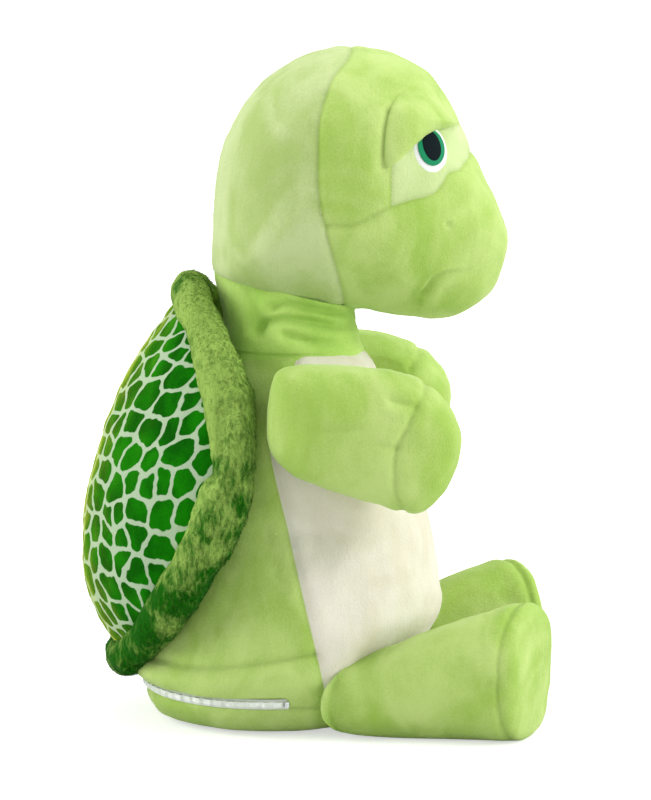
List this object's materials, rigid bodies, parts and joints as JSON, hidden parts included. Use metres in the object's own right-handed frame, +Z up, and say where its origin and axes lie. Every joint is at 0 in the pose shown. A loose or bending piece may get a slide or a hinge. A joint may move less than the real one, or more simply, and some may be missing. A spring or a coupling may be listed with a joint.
{
  "type": "plush turtle",
  "caption": "Seated plush turtle with a stuffed patterned shell, turning head, movable arms and legs, and a zipped base.",
  "frame": {"origin": "on the ground, under the middle of the seated turtle's bounding box", "axes": "+Z up, -Y the way the turtle faces, +X its left"},
  "size_m": [0.213, 0.2763, 0.4003],
  "materials": {
    "plush_lime": "short soft pile",
    "plush_green": "short soft pile",
    "plush_pale": "short soft pile",
    "plush_cream": "short soft pile",
    "pile_olive": "long brushed pile",
    "print_green": "printed smooth plush",
    "tape_white": "woven tape",
    "fibre_white": "loose fibre",
    "nylon": "moulded",
    "metal": "die cast",
    "eye_white": "satin embroidery",
    "eye_green": "satin embroidery",
    "eye_black": "satin embroidery"
  },
  "bodies": {
    "torso": {"torso_skin": "plush_lime", "base_panel": "plush_lime", "belly_panel": "plush_cream", "torso_pod": "fibre_white", "shell_cover": "print_green", "shell_filling": "fibre_white", "shell_rim": "pile_olive", "zip_tape": "tape_white", "zip_teeth": "nylon", "zip_stop_left": "nylon", "zip_stop_right": "nylon"},
    "neck": {"neck_skin": "plush_green", "neck_filling": "fibre_white"},
    "head": {"head_back_panel": "plush_lime", "face_panel": "plush_lime", "muzzle_panel": "plush_lime", "lower_lip": "plush_lime", "eye_patch_left": "plush_pale", "eye_patch_right": "plush_pale", "eyelid_left": "plush_lime", "eyelid_right": "plush_lime", "eye_white_left": "eye_white", "eye_white_right": "eye_white", "iris_left": "eye_green", "iris_right": "eye_green", "pupil_left": "eye_black", "pupil_right": "eye_black", "head_pod": "fibre_white"},
    "arm_left": {"arm_skin_left": "plush_lime", "hand_cap_left": "plush_lime", "arm_filling_left": "fibre_white"},
    "arm_right": {"arm_skin_right": "plush_lime", "hand_cap_right": "plush_lime", "arm_filling_right": "fibre_white"},
    "leg_left": {"leg_skin_left": "plush_lime", "foot_sole_left": "plush_lime", "leg_filling_left": "fibre_white"},
    "leg_right": {"leg_skin_right": "plush_lime", "foot_sole_right": "plush_lime", "leg_filling_right": "fibre_white"},
    "zip_slider": {"zip_slider": "metal"},
    "zip_pull": {"zip_pull": "metal"}
  },
  "joints": [
    {"name": "neck_nod", "type": "hinge", "parent": "torso", "child": "neck", "pos_m": [0, 0.014, 0.208], "axis": [1, 0, 0], "range_deg": [0, 12], "stiffness_Nm_per_rad": 1.2, "springref_deg": -3.44},
    {"name": "head_turn", "type": "hinge", "parent": "neck", "child": "head", "pos_m": [0, 0.02, 0.2585], "axis": [0, -0.2639, 0.9646], "range_deg": [-30, 30], "stiffness_Nm_per_rad": 0.5},
    {"name": "shoulder_left", "type": "hinge", "parent": "torso", "child": "arm_left", "pos_m": [0.057, 0.008, 0.191], "axis": [1, 0, 0], "range_deg": [-10, 20], "stiffness_Nm_per_rad": 0.3, "springref_deg": -1.15},
    {"name": "shoulder_right", "type": "hinge", "parent": "torso", "child": "arm_right", "pos_m": [-0.057, 0.008, 0.191], "axis": [1, 0, 0], "range_deg": [-10, 20], "stiffness_Nm_per_rad": 0.3, "springref_deg": -1.15},
    {"name": "hip_left", "type": "hinge", "parent": "torso", "child": "leg_left", "pos_m": [0.06, -0.026, 0.024], "axis": [-0.7513, 0.66, 0], "range_deg": [-10, 20], "stiffness_Nm_per_rad": 0.4},
    {"name": "hip_right", "type": "hinge", "parent": "torso", "child": "leg_right", "pos_m": [-0.06, -0.026, 0.024], "axis": [-0.7513, -0.66, 0], "range_deg": [-10, 20], "stiffness_Nm_per_rad": 0.4},
    {"name": "zip_slide", "type": "hinge", "parent": "torso", "child": "zip_slider", "pos_m": [0, 0.028, 0.02175], "axis": [0, 0, 1], "range_deg": [0, 186]},
    {"name": "pull_swing", "type": "hinge", "parent": "zip_slider", "child": "zip_pull", "pos_m": [0.07859, 0.02377, 0.02175], "axis": [0, 0, -1], "range_deg": [0, 150]}
  ]
}
